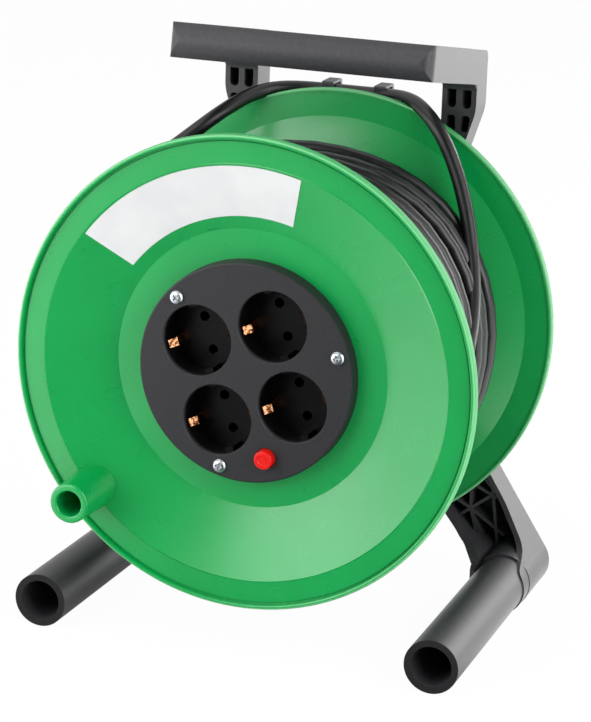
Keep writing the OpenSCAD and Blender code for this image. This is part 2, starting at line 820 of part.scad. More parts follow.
module barrel_screws() {
    color(ZINC) on_axis() for (a = barrel_screw_at) {
        rotate(a) translate([barrel_screw_r, 0, -ring_h]) rotate([180, 0, 0])
            pan_screw(screw_head_r, screw_head_h, screw_shank_r, 16);
    }
}

module entry_grommet() {
    color(CORD_BLACK) on_axis() rotate(entry_angle) translate([0, 0, entry_h]) rotate([0, 90, 0])
        rotate_extrude()
            polygon([
                [cord_r + fit, barrel_in - 4], [grommet_r + 2.4, barrel_in - 4],
                [grommet_r + 2.4, barrel_in - 0.9], [grommet_r, barrel_in - 0.7],
                [grommet_r, barrel_r - 0.45], [cord_r + fit, barrel_r - 0.45]
            ]);
}

clamp_h = -(ring_h - sheet_t);
clamp_span = 9;

module clamp_frame() on_axis() rotate(entry_angle - 40) translate([36, 0, clamp_h]) children();

module strain_clamp() {
    color(BLACK_PLASTIC) clamp_frame() difference() {
        union() {
            translate([-4.5, -14, 0]) cube([9, 28, 10.5]);
            translate([-3, -14, 10.5 - eps]) cube([6, 28, 2]);
        }
        translate([-5, 0, cord_r + 0.6]) rotate([0, 90, 0]) cylinder(h = 10, r = cord_r);
        for (s = [-1, 1]) translate([0, s * clamp_span, -1]) cylinder(h = 15, r = 1.6 + fit);
    }
}

module clamp_screws() {
    color(ZINC) clamp_frame() for (s = [-1, 1]) {
        translate([0, s * clamp_span, 12.5]) pan_screw(3, 1.8, 1.6, 12.4);
    }
}

// ---------------------------------------------------------------- socket insert

// Places a child at each socket; corner k runs from 1 to 4
function cup_xy(k) = [for (s = [[1, 1], [-1, 1], [-1, -1], [1, -1]]) s * socket_pitch / 2][k - 1];

module socket_plate() {
    color(PLATE_GREY) insert_frame() difference() {
        union() {
            rotate_extrude($fn = 128)
                polygon([
                    [0, plate_back], [plate_r - plate_wall, plate_back], [plate_r - plate_wall, ring_h],
                    [plate_r, ring_h], [plate_r - 0.3, plate_face - 0.9],
                    [plate_r - 0.6, plate_face - 0.3], [plate_r - 1.2, plate_face], [0, plate_face]
                ]);
            for (a = [0:120:240]) {
                rotate(a) translate([plate_screw_r, 0, ring_h]) cylinder(h = plate_h - 1, r = boss_r);
            }
        }
        for (k = [1:4]) {
            translate(cup_xy(k)) {
                translate([0, 0, ring_h]) cylinder(h = plate_h + 1, r = recess_d / 2);
                translate([0, 0, plate_face - 0.5]) cylinder(h = 1, r1 = recess_d / 2, r2 = recess_d / 2 + 1);
            }
        }
        translate([0, -button_r, ring_h]) cylinder(h = plate_h + 1, r = button_d / 2 + 0.15);
        for (a = [0:120:240]) {
            rotate(a) translate([plate_screw_r, 0, ring_h - 1]) cylinder(h = plate_h + 2, r = screw_shank_r + 0.2);
        }
    }
}

module plate_screws() {
    color(ZINC) insert_frame() for (a = [0:120:240]) {
        rotate(a) translate([plate_screw_r, 0, plate_face]) pan_screw(screw_head_r, screw_head_h, screw_shank_r, 26);
    }
}

// Recess with two guide ribs, two pin holes and two slots for the earth clip
module socket_cup(k) {
    depth = plate_back - cup_floor;
    slot_in = recess_d / 2 - 4.2;
    color(CUP_BLACK) insert_frame() translate(cup_xy(k)) translate([0, 0, cup_floor]) difference() {
        translate([0, 0, -floor_t]) cylinder(h = depth + floor_t, r = cup_r);
        difference() {
            cylinder(h = depth + 1, r = recess_d / 2);
            // Guide ribs on the line of the pins
            for (s = [-1, 1]) {
                translate([-2.4, s > 0 ? recess_d / 2 - 2.3 : -recess_d / 2 - 0.7, -1]) cube([4.8, 3, depth - 2]);
            }
        }
        for (s = [-1, 1]) {
            translate([0, s * pin_pitch / 2, -floor_t - 1]) cylinder(h = floor_t + 2, r = pin_hole_d / 2);
            translate([s > 0 ? slot_in : -recess_d / 2 + 0.2, -strip_w / 2 - 0.3, -floor_t - 1])
                cube([4, strip_w + 0.6, floor_t + 2]);
        }
    }
}

// Sprung brass strip: two bent fingers joined under the floor of the cup
module earth_clip(k) {
    x = recess_d / 2;
    low = -floor_t - strip_t - seat;
    top = plate_back - cup_floor - 1.4;
    finger = [
        [x - 2.2, low], [x - 2.2, 4.5], [x - 3.9, 9.5], [x - 0.6, top], [x - 1.3, top + 0.35],
        [x - 4.9, 9.5], [x - 3.0, 4.4], [x - 3.0, low + strip_t]
    ];
    n = len(finger) - 1;
    color(BRASS) insert_frame() translate(cup_xy(k)) translate([0, strip_w / 2, cup_floor])
        rotate([90, 0, 0]) linear_extrude(strip_w)
            polygon(concat(finger, [for (i = [n:-1:0]) [-finger[i].x, finger[i].y]]));
}

// Contact sleeves of one pole, joined by a bent bus bar; pole is 1 or -1
module contact_bar(pole) {
    base = carrier_h + carrier_t;
    half = socket_pitch / 2;
    rows = [half + pole * pin_pitch / 2, -half + pole * pin_pitch / 2];
    color(BRASS) insert_frame() translate([0, 0, base]) difference() {
        union() {
            linear_extrude(bar_t) {
                for (y = rows) bar([-half, y], [half, y], bar_w);
                bar([pole * (half + 8), rows[0]], [pole * (half + 8), rows[1]], bar_w);
                for (y = rows) bar([pole * half, y], [pole * (half + 8), y], bar_w);
            }
            for (x = [-half, half], y = rows) translate([x, y, 0])
                cylinder(h = cup_floor - floor_t - seat - base, r = sleeve_r);
        }
        for (x = [-half, half], y = rows) translate([x, y, bar_t])
            cylinder(h = recess_depth, r = pin_r + fit);
    }
}

module contact_carrier() {
    color(CUP_BLACK) insert_frame() difference() {
        translate([0, 0, carrier_h]) cylinder(h = carrier_t, r = barrel_in - 0.3);
        for (a = [0:120:240]) {
            rotate(a) translate([plate_screw_r - post_r - 0.5, -post_r - 0.5, carrier_h - 1])
                cube([20, 2 * post_r + 1, carrier_t + 2]);
        }
    }
}

module breaker_body() {
    base = carrier_h + carrier_t;
    color(CUP_BLACK) insert_frame() translate([0, -button_r, 0]) difference() {
        translate([-breaker_w / 2, -breaker_w / 2, base]) cube([breaker_w, breaker_w, breaker_top - base]);
        translate([0, 0, breaker_top - button_guide]) cylinder(h = button_guide + 1, r = button_shaft_r + fit);
    }
}

// Press button: domed cap, hidden collar and guide shaft
module reset_button() {
    collar_top = plate_back - 0.3;
    top = plate_face + button_h;
    r = button_d / 2;
    shaft_end = breaker_top - button_guide + button_travel + 1;
    color(RED) insert_frame() translate([0, -button_r, 0])
        rotate_extrude()
            polygon(concat(
                [[0, shaft_end], [button_shaft_r, shaft_end], [button_shaft_r, collar_top - button_collar_t],
                [button_collar_r, collar_top - button_collar_t], [button_collar_r, collar_top], [r, collar_top]],
                [for (i = [0:4]) [r - 0.3 - 1.2 + 1.2 * cos(22.5 * i), top - 1.2 + 1.2 * sin(22.5 * i)]],
                [[r * 0.52, top], [r * 0.44, top - 0.5], [0, top - 0.5]]
            ));
}

module rating_label() {
    r0 = ring_r + 7.5;
    r1 = band_r - 1;
    h0 = ring_h + (r0 - ring_r) * cone_slope;
    h1 = ring_h + (r1 - ring_r) * cone_slope;
    t = 0.3;
    lift = 0.03;
    color(LABEL_WHITE) on_axis() rotate(74.5)
        rotate_extrude(angle = 69, $fn = 128) polygon([[r0, h0 + lift], [r1, h1 + lift], [r1, h1 + t], [r0, h0 + t]]);
}

// ---------------------------------------------------------------- cable

module cable_winding() {
    flat = ring_h - sheet_t - seat;
    wide = flat + (winding_r - ring_r) * inner_slope;
    step = flat - collar_h;
    inner = barrel_r + 0.1;
    outer = barrel_r + collar_t + seat;
    color(CORD_BLACK) on_axis() rotate_extrude($fn = 128)
        polygon([
            [inner, -step], [outer, -step], [outer, -flat], [ring_r, -flat], [winding_r, -wide],
            [winding_r, wide], [ring_r, flat], [outer, flat], [outer, step], [inner, step]
        ]);
}

// Point of a smooth curve through the route, u from 0 to 1 between points i and i + 1
function route_at(p, i, u) =
    let (
        m = len(p) - 1,
        a = p[max(i - 1, 0)],
        b = p[i],
        c = p[min(i + 1, m)],
        d = p[min(i + 2, m)]
    )
    0.5 * (2 * b + (c - a) * u + (2 * a - 5 * b + 4 * c - d) * u * u + (3 * b - 3 * c + d - a) * u * u * u);

module swept_cord(route, r, sides) {
    path = concat([for (i = [0:len(route) - 2], u = [0, 0.5]) route_at(route, i, u)], [route[len(route) - 1]]);
    n = len(path);
    rings = [for (i = [0:n - 1])
        let (
            t = unit(path[min(i + 1, n - 1)] - path[max(i - 1, 0)]),
            a = unit(cross(t, [0, 1, 0])),
            b = cross(t, a)
        )
        [for (k = [0:sides - 1]) path[i] + r * (cos(360 * k / sides) * a + sin(360 * k / sides) * b)]];
    polyhedron(
        points = [for (ring = rings, p = ring) p],
        faces = concat(
            [[for (k = [0:sides - 1]) k]],
            [[for (k = [sides - 1:-1:0]) (n - 1) * sides + k]],
            [for (i = [0:n - 2], k = [0:sides - 1])
                [i * sides + k, (i + 1) * sides + k, (i + 1) * sides + (k + 1) % sides, i * sides + (k + 1) % sides]]
        )
    );
}

module cable_free_end() {
    color(CORD_BLACK) placed() swept_cord(cord_route, cord_r, 10);
}

module plug_frame() placed() translate([plug_x, plug_y, 0]) rotate(90) children();

module plug_body() {
    color(CORD_BLACK) plug_frame() difference() {
        rotate_extrude()
            polygon([
                [0, plug_face], [plug_r - 1, plug_face], [plug_r, plug_face + 1], [plug_r, plug_face + 17],
                [plug_r - 2.6, plug_face + 22], [11, plug_face + 27], [8.4, plug_face + 33],
                [7.6, plug_face + 38], [cord_r + 1.2, plug_top], [0, plug_top]
            ]);
        for (s = [-1, 1]) {
            translate([s * pin_pitch / 2, 0, plug_face - 1]) cylinder(h = 13, r = pin_neck_r + fit);
            translate([s > 0 ? plug_r - 1.8 : -plug_r - 1, -3, plug_face - 1]) cube([2.8, 6, 16]);
            translate([-2.4, s > 0 ? plug_r - 1 : -plug_r - 2, plug_face - 1]) cube([4.8, 3, 12]);
        }
    }
}

module plug_pins() {
    color(ZINC) plug_frame() for (s = [-1, 1]) {
        translate([s * pin_pitch / 2, 0, plug_face - pin_len])
            rotate_extrude()
                polygon([
                    [0, 0], [1.2, 0], [2.1, 0.7], [pin_r, 1.8], [pin_r, pin_len - 0.3],
                    [pin_neck_r, pin_len - 0.3], [pin_neck_r, pin_len + 12], [0, pin_len + 12]
                ]);
    }
}

module plug_earth_strips() {
    color(BRASS) plug_frame() for (s = [-1, 1]) {
        translate([s > 0 ? plug_r - 1.8 : -plug_r + 0.9, -2.9, plug_face + 0.1]) cube([0.9, 5.8, 14.8]);
    }
}

rear_frame();
carry_handle();
handle_screws();
foot_tube(-1);  // foot_tube_left
foot_tube(1);  // foot_tube_right
foot_tube_screws();
axle_spindle();
spindle_screws();
retaining_washer();
axle_screw();
rear_flange();
front_flange();
drum_barrel();
barrel_screws();
entry_grommet();
strain_clamp();
clamp_screws();
socket_plate();
plate_screws();
socket_cup(1);  // socket_cup_1
socket_cup(2);  // socket_cup_2
socket_cup(3);  // socket_cup_3
socket_cup(4);  // socket_cup_4
earth_clip(1);  // earth_clip_1
earth_clip(2);  // earth_clip_2
earth_clip(3);  // earth_clip_3
earth_clip(4);  // earth_clip_4
contact_bar(1);  // live_bar
contact_bar(-1);  // neutral_bar
contact_carrier();
breaker_body();
reset_button();
rating_label();
cable_winding();
cable_free_end();
plug_body();
plug_pins();
plug_earth_strips();
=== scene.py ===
# Extension cord reel: the lead, the finishes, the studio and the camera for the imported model.
import math
import random

import bmesh
import bpy
from mathutils import Matrix, Vector


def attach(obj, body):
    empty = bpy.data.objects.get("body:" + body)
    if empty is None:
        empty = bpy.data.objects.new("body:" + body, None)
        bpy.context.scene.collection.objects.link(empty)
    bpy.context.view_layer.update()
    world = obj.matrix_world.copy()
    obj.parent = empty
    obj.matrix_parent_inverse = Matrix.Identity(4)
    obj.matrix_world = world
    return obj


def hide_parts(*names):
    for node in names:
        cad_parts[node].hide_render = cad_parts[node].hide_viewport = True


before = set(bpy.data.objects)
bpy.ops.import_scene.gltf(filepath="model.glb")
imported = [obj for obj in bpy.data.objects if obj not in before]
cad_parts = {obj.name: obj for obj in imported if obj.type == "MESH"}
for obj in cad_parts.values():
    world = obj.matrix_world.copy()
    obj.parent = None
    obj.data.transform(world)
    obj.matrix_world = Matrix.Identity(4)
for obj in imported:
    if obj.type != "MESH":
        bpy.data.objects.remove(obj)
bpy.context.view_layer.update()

MM = 0.001
AXLE_Z = 162.0          # height of the drum's axle
MIDDLE_Y = 0.7          # the drum's centre plane in the part's frame
CORD_D = 8.4            # outer diameter of the three-core lead
FLANGE_R = 132.5        # outer radius of both flanges
FINE_STEPS = 12         # points between two knots before a curve is measured


# ---------------------------------------------------------------- helpers

def metres(points):
    """Points measured from the drum's centre plane, in millimetres, as metres in the part's frame."""
    return [Vector((x * MM, (y + MIDDLE_Y) * MM, z * MM)) for x, y, z in points]


def smooth_line(points, step):
    """A centripetal curve through the points, at about equal steps, ends included."""
    pts = [points[0] * 2 - points[1], *points, points[-1] * 2 - points[-2]]
    dense = []
    for a, b, c, d in zip(pts, pts[1:], pts[2:], pts[3:]):
        t0 = 0.0
        t1 = t0 + max((b - a).length, 1e-9) ** 0.5
        t2 = t1 + max((c - b).length, 1e-9) ** 0.5
        t3 = t2 + max((d - c).length, 1e-9) ** 0.5
        for i in range(FINE_STEPS):
            t = t1 + (t2 - t1) * i / FINE_STEPS
            a1 = a * (t1 - t) / (t1 - t0) + b * (t - t0) / (t1 - t0)
            a2 = b * (t2 - t) / (t2 - t1) + c * (t - t1) / (t2 - t1)
            a3 = c * (t3 - t) / (t3 - t2) + d * (t - t2) / (t3 - t2)
            b1 = a1 * (t2 - t) / (t2 - t0) + a2 * (t - t0) / (t2 - t0)
            b2 = a2 * (t3 - t) / (t3 - t1) + a3 * (t - t1) / (t3 - t1)
            dense.append(b1 * (t2 - t) / (t2 - t1) + b2 * (t - t1) / (t2 - t1))
    dense.append(points[-1])
    along = [0.0]
    for p, q in zip(dense, dense[1:]):
        along.append(along[-1] + (q - p).length)
    n = max(2, round(along[-1] / step))
    line, k = [], 0
    for i in range(n + 1):
        s = along[-1] * i / n
        while k < len(dense) - 2 and along[k + 1] < s:
            k += 1
        u = (s - along[k]) / max(along[k + 1] - along[k], 1e-12)
        line.append(dense[k].lerp(dense[k + 1], min(max(u, 0.0), 1.0)))
    return line


def relaxed(line, *, rounds):
    """Evens out the bends of a line and leaves its ends in place."""
    for _ in range(rounds):
        inner = [(p + q * 2 + r) / 4 for p, q, r in zip(line, line[1:], line[2:])]
        line = [line[0], *inner, line[-1]]
    return line


def round_cord(name, line, diameter, *, sides):
    """A tube along the line, with a closed cap at each end and smooth sides."""
    mesh = bpy.data.meshes.new(name)
    tube = bmesh.new()
    out = (line[1] - line[0]).normalized().orthogonal().normalized()
    turns = [2 * math.pi * k / sides for k in range(sides)]
    rings = []
    for i, middle in enumerate(line):
        along = (line[min(i + 1, len(line) - 1)] - line[max(i - 1, 0)]).normalized()
        out = (out - along * out.dot(along)).normalized()
        aside = along.cross(out)
        rings.append([tube.verts.new(middle + diameter / 2 * (out * math.cos(a) + aside * math.sin(a)))
                      for a in turns])
    for near, far in zip(rings, rings[1:]):
        for k in range(sides):
            tube.faces.new((near[k], near[k - 1], far[k - 1], far[k])).smooth = True
    tube.faces.new(rings[0])
    tube.faces.new(rings[-1][::-1])
    bmesh.ops.recalc_face_normals(tube, faces=tube.faces)
    tube.to_mesh(mesh)
    tube.free()
    piece = bpy.data.objects.new(name, mesh)
    bpy.context.scene.collection.objects.link(piece)
    return piece


# ---------------------------------------------------------------- camera

# The view, as a least-squares fit to the reel's round rims, feet and handle gave it
CAMERA_AT = Vector((0.51116, -1.40030, 0.58762))
AZIMUTH, ELEVATION, ROLL = (math.radians(a) for a in (19.912, 16.322, 1.898))
FOCAL_PX = 2749.217         # focal length, in pixels of a picture of this height
IMAGE_HEIGHT_PX = 722
SENSOR_MM = 36.0


def make_camera():
    """A level camera turned by its azimuth and elevation, then rolled about its own axis."""
    back = Vector((math.sin(AZIMUTH) * math.cos(ELEVATION),
                   -math.cos(AZIMUTH) * math.cos(ELEVATION), math.sin(ELEVATION)))
    right = Vector((math.cos(AZIMUTH), math.sin(AZIMUTH), 0.0))
    up = back.cross(right)
    rolled_right = right * math.cos(ROLL) + up * math.sin(ROLL)
    rolled_up = up * math.cos(ROLL) - right * math.sin(ROLL)
    data = bpy.data.cameras.new("studio_camera")
    data.sensor_width = SENSOR_MM
    data.lens = FOCAL_PX * SENSOR_MM / IMAGE_HEIGHT_PX
    data.clip_start, data.clip_end = 0.05, 20.0
    camera = bpy.data.objects.new("studio_camera", data)
    turn = Matrix((rolled_right, rolled_up, back)).transposed()
    camera.matrix_world = Matrix.Translation(CAMERA_AT) @ turn.to_4x4()
    bpy.context.scene.collection.objects.link(camera)
    bpy.context.scene.camera = camera


make_camera()

# ---------------------------------------------------------------- lead

# Middle of the lead where it lies on the frame's bar, 285 mm up
LIE = 285 + CORD_D / 2 + 0.2
# Free end: from the last turn of the winding over the rear rim, along the bar behind it, back over
# the rim and down to the plug at the left
FREE_ROUTE = [
    (104.6, -2.4, 170.3), (104.1, 5.1, 175.2), (102.4, 14.3, 184.2), (99.8, 23.5, 193.2),
    (96.6, 31.9, 202.3), (93.4, 38.5, 210.7), (90.8, 43.5, 218.7), (87.5, 47.5, 231),
    (83, 52.5, 242), (79.5, 56, 249), (76, 58.5, 256.5), (72, 60.5, 264), (68.5, 61.5, 271),
    (62.8, 63.5, 279.3), (55.7, 66, 286.3), (51.5, 68.5, 288.5), (47.3, 73, 290.5), (43.6, 77.5, 291.8),
    (36.5, 84, 291.9), (23.5, 90, LIE + 0.4), (5, 92, LIE), (-14, 92, LIE),
    (-25.5, 90, LIE + 0.2), (-36, 86.5, 290.5), (-46.5, 81.5, 290.2), (-51, 75, 289.4),
    (-53.2, 68, 287.4), (-55.2, 60, 286), (-59, 53, 284), (-65.8, 42, 277.7), (-74.6, 34, 269.2),
    (-86, 29.5, 259.5), (-99.9, 27, 248.2), (-112.9, 25, 236), (-123.7, 23, 223),
    (-131.3, 21.5, 210.1), (-135.1, 20.5, 198.8), (-135.9, 20, 192.4), (-136, 20, 186.3),
]

# One layer of turns: radius of its middle, how far it reaches to each side, and how loosely it lies
LAYERS = [(67.5, 47.5, 0.0), (74.8, 53.6, 0.0), (82.0, 55.0, 0.0), (89.0, 57.6, 0.5), (95.8, 60.2, 1.0)]
TURN_PITCH = 9.0            # from one turn to the next along the axle
FIRST_ANGLE = 205           # degrees, where the first turn starts
SWAY, SWELL = 1.1, 0.35     # how far a loose turn strays along the axle and outwards
WINDING_SEED = 35
CLIMB = 0.35                # share of a turn in which the lead rises to the next layer
STEPS_PER_TURN = 40
FULL_TURN = 2 * math.pi

LAST_R = 104.4              # middle of a last turn that lies on the layers
# Loose last turns over the layers, as (turns before the free end starts, place along the axle, radius)
LAST_TURNS = [
    (5.75, -54, 99.5), (5.5, -40, 104), (5.25, -20, LAST_R), (5.0, -4, LAST_R), (4.95, -1, LAST_R),
    (4.9, 1.5, LAST_R), (4.862, 1.5, LAST_R), (4.827, -5, LAST_R), (4.75, -14, LAST_R),
    (4.5, -8, LAST_R), (4.25, 2, LAST_R), (4.0, 6, LAST_R), (3.95, 8, LAST_R), (3.9, 10.5, LAST_R),
    (3.862, 10.4, LAST_R), (3.827, 4, LAST_R), (3.75, -5, LAST_R), (3.5, 3, LAST_R), (3.25, 14, LAST_R),
    (3.0, 22, LAST_R), (2.92, 28.4, LAST_R), (2.897, 28, LAST_R), (2.87, 26.4, LAST_R),
    (2.84, 20, LAST_R), (2.8, 12, LAST_R), (2.75, 8, LAST_R), (2.5, 16, LAST_R), (2.25, 27, LAST_R),
    (2.0, 32, LAST_R), (1.929, 37.5, LAST_R), (1.888, 39.5, LAST_R), (1.853, 36.5, LAST_R),
    (1.82, 30, LAST_R), (1.79, 22, LAST_R), (1.75, 18.6, LAST_R), (1.5, 28, LAST_R), (1.25, 43, LAST_R),
    (1.0, 48.5, 104.6), (0.91, 52.4, 104.6), (0.888, 52, 104.6), (0.851, 50, 104.6),
    (0.811, 41.8, 104.8), (0.778, 38.6, 105), (0.742, 38.2, 106), (0.69, 34, 110), (0.58, 12, 112.8),
    (0.45, -14, 112.8), (0.33, -34, 109.6), (0.22, -48, 106), (0.15, -51, 105), (0.1, -47, 104.8),
    (0.06, -37.5, 104.8), (0.03, -22, 104.8), (0.0, -2.4, 104.93),
]
LAST_TURN_LENGTH = FULL_TURN * LAST_R
WHOLE_LAST_TURNS = 5        # and a part turn, to reach the free end's angle


def winding_line():
    """The layers of the winding, laid back and forth between the flanges, then the last turns."""
    rng = random.Random(WINDING_SEED)
    line = []
    angle, side = math.radians(FIRST_ANGLE), -1
    below = LAYERS[0][0]
    for r, reach, loose in LAYERS:
        turns = 2 * reach / TURN_PITCH
        steps = round(turns * STEPS_PER_TURN)
        waves = [(rng.uniform(0, 6.28), rng.uniform(0.15, 0.45), rng.uniform(0.4, 1.0)) for _ in range(5)]
        for i in range(steps):
            t = i / steps
            a = angle + FULL_TURN * turns * t
            sway = sum(w * math.sin(f * FULL_TURN * turns * t + p) for p, f, w in waves)
            swell = sum(w * math.cos(f * FULL_TURN * turns * t + 2 * p) for p, f, w in waves)
            y = side * (2 * t - 1) * reach + loose * SWAY * sway
            y = max(-reach, min(reach, y))
            lift = min(1.0, i / (STEPS_PER_TURN * CLIMB))
            rad = below + (r - below) * (3 * lift * lift - 2 * lift ** 3) + loose * SWELL * swell
            line.append(Vector((rad * math.cos(a), y, AXLE_Z + rad * math.sin(a))))
        angle += FULL_TURN * turns
        side = -side
        below = r
    end = math.atan2(FREE_ROUTE[0][2] - AXLE_Z, FREE_ROUTE[0][0])
    left = WHOLE_LAST_TURNS + ((end - angle) / FULL_TURN) % 1
    first = (left, -LAYERS[-1][1], LAYERS[-1][0])
    last = [(t, y, r) for t, y, r in LAST_TURNS if t < left - 0.1]
    knots = [Vector((t * LAST_TURN_LENGTH, y, r)) for t, y, r in [first, *last]]
    for gone, y, rad in smooth_line(knots, LAST_TURN_LENGTH / STEPS_PER_TURN)[1:]:
        a = end - FULL_TURN * gone / LAST_TURN_LENGTH
        line.append(Vector((rad * math.cos(a), y, AXLE_Z + rad * math.sin(a))))
    return metres(relaxed(line, rounds=3))


free_line = relaxed(smooth_line(metres(FREE_ROUTE), step=0.005), rounds=14)
free_lead = round_cord("free_lead", free_line, CORD_D * MM, sides=20)
wound_line = winding_line()
wound_lead = round_cord("wound_lead", wound_line, CORD_D * MM, sides=12)

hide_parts("cable_free_end")
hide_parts("cable_winding")
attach(free_lead, "frame")
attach(wound_lead, "drum")


# ---------------------------------------------------------------- finishes

def linear(code):
    """An sRGB hex colour as a linear one."""
    parts = [int(code[i:i + 2], 16) / 255 for i in (1, 3, 5)]
    return tuple(c / 12.92 if c <= 0.04045 else ((c + 0.055) / 1.055) ** 2.4 for c in parts) + (1.0,)


def per(size_mm):
    """Scale at which one cell of a pattern is size_mm across."""
    return 1 / (size_mm * MM)


def add_node(tree, kind, inputs=None, stops=None, **settings):
    """Adds a shader node: its settings, what goes into its inputs, and a ramp's (place, colour) stops."""
    node = tree.nodes.new("ShaderNode" + kind)
    for name, value in settings.items():
        if hasattr(node, name):
            setattr(node, name, value)
        else:
            node.inputs[name.replace("_", " ")].default_value = value
    for name, value in (inputs or {}).items():
        if isinstance(value, bpy.types.NodeSocket):
            tree.links.new(value, node.inputs[name])
        else:
            node.inputs[name].default_value = value
    for i, (place, code) in enumerate(stops or ()):
        stop = node.color_ramp.elements[i] if i < 2 else node.color_ramp.elements.new(place)
        stop.position, stop.color = place, linear(code)
    return node


def new_material(name):
    """An empty material, its tree, and the place on the object that its patterns follow."""
    material = bpy.data.materials.new(name)
    material.use_nodes = True
    tree = material.node_tree
    tree.nodes.clear()
    return material, tree, add_node(tree, "TexCoord").outputs["Object"]


def close_surface(tree, inputs, **settings):
    """Ends a material with one Principled shader."""
    shader = add_node(tree, "BsdfPrincipled", inputs, **settings)
    add_node(tree, "OutputMaterial", {"Surface": shader.outputs[0]})


def green_polypropylene():
    """Polypropylene, injection moulded in a polished mould: saturated, with a broad soft gloss, faint
    flow clouds, and a painted highlight: a pale line along the rim's outer edge, which is also rougher."""
    material, tree, place = new_material("green_polypropylene_moulded")
    clouds = add_node(tree, "TexNoise", {"Vector": place}, Scale=per(70), Detail=3.0)
    tint = add_node(tree, "ValToRGB", {"Fac": clouds.outputs["Fac"]},
                    stops=((0.3, "#009042"), (0.7, "#009949")))
    # Rim edge, rougher and with a painted highlight: the outermost millimetres, measured from the drum's axle
    from_axle = add_node(tree, "VectorMath", {0: place, 1: (0, 0, AXLE_Z * MM)}, operation="SUBTRACT")
    flat = add_node(tree, "VectorMath", {0: from_axle.outputs[0], 1: (1, 0, 1)}, operation="MULTIPLY")
    radius = add_node(tree, "VectorMath", {0: flat.outputs[0]}, operation="LENGTH")
    edge_highlight_and_roughness = add_node(tree, "MapRange", {"Value": radius.outputs["Value"]}, interpolation_type="SMOOTHSTEP",
                    From_Min=(FLANGE_R - 1.6) * MM, From_Max=(FLANGE_R - 0.3) * MM)
    # The painted highlight is palest where the edge faces forward
    facing = add_node(tree, "SeparateXYZ", {0: add_node(tree, "TexCoord").outputs["Normal"]})
    front = add_node(tree, "MapRange", {"Value": facing.outputs["Y"]}, interpolation_type="SMOOTHSTEP",
                     From_Min=-0.85, From_Max=-0.25, To_Min=1.0, To_Max=0.12)
    highlight_mask = add_node(tree, "Math", {0: edge_highlight_and_roughness.outputs[0], 1: front.outputs[0]}, operation="MULTIPLY")
    edge = add_node(tree, "Mix", {0: highlight_mask.outputs[0], 6: tint.outputs[0], 7: linear("#79C98A")},
                    data_type="RGBA")
    haze = add_node(tree, "TexNoise", {"Vector": place}, Scale=per(15), Detail=1.0)
    polish = add_node(tree, "MapRange", {"Value": haze.outputs["Fac"]}, To_Min=0.26, To_Max=0.30)
    dull = add_node(tree, "Mix", {0: edge_highlight_and_roughness.outputs[0], 2: polish.outputs[0], 3: 0.6}, data_type="FLOAT")
    grain = add_node(tree, "TexNoise", {"Vector": place}, Scale=per(1.6), Detail=2.0)
    relief = add_node(tree, "Bump", {"Height": grain.outputs["Fac"]}, Distance=0.003 * MM)
    close_surface(tree, {"Base Color": edge.outputs[2], "Roughness": dull.outputs[0],
                         "Normal": relief.outputs[0]}, IOR=1.49, Specular_IOR_Level=0.75)
    return material


def black_polypropylene():
    """Glass-filled polypropylene, moulded in a spark-eroded mould: fine matt grain and greyish sheen."""
    material, tree, place = new_material("black_polypropylene_grained")
    mottle = add_node(tree, "TexNoise", {"Vector": place}, Scale=per(2.2), Detail=4.0, Roughness=0.6)
    tint = add_node(tree, "ValToRGB", {"Fac": mottle.outputs["Fac"]},
                    stops=((0.35, "#2E2D30"), (0.7, "#39383C")))
    dull = add_node(tree, "MapRange", {"Value": mottle.outputs["Fac"]}, To_Min=0.42, To_Max=0.56)
    grain = add_node(tree, "TexNoise", {"Vector": place}, Scale=per(0.8), Detail=2.0)
    relief = add_node(tree, "Bump", {"Height": grain.outputs["Fac"]}, Distance=0.03 * MM)
    close_surface(tree, {"Base Color": tint.outputs[0], "Roughness": dull.outputs[0],
                         "Normal": relief.outputs[0]}, IOR=1.5)
    return material


def tube_polypropylene():
    """Polypropylene tube, extruded and cut to length with a saw: a grainy dull wall, and rougher front end
    faces darkened with painted shade.
    """
    material, tree, place = new_material("black_polypropylene_extruded")
    mottle = add_node(tree, "TexNoise", {"Vector": place}, Scale=per(2.2), Detail=4.0, Roughness=0.6)
    tint = add_node(tree, "ValToRGB", {"Fac": mottle.outputs["Fac"]},
                    stops=((0.35, "#2E2D30"), (0.7, "#39383C")))
    # End face, rougher and darkened with painted shade: the face that looks forward along the tube
    facing = add_node(tree, "SeparateXYZ", {0: add_node(tree, "TexCoord").outputs["Normal"]})
    end_face_shade_and_roughness = add_node(tree, "MapRange", {"Value": facing.outputs["Y"]}, From_Min=-0.9, From_Max=-0.99)
    shade = add_node(tree, "Mix", {0: end_face_shade_and_roughness.outputs[0], 6: tint.outputs[0], 7: linear("#141415")},
                     data_type="RGBA")
    dull = add_node(tree, "MapRange", {"Value": mottle.outputs["Fac"]}, To_Min=0.42, To_Max=0.56)
    rough = add_node(tree, "Mix", {0: end_face_shade_and_roughness.outputs[0], 2: dull.outputs[0], 3: 0.85}, data_type="FLOAT")
    grain = add_node(tree, "TexNoise", {"Vector": place}, Scale=per(0.8), Detail=2.0)
    relief = add_node(tree, "Bump", {"Height": grain.outputs["Fac"]}, Distance=0.03 * MM)
    close_surface(tree, {"Base Color": shade.outputs[2], "Roughness": rough.outputs[0],
                         "Normal": relief.outputs[0]}, IOR=1.5)
    return material


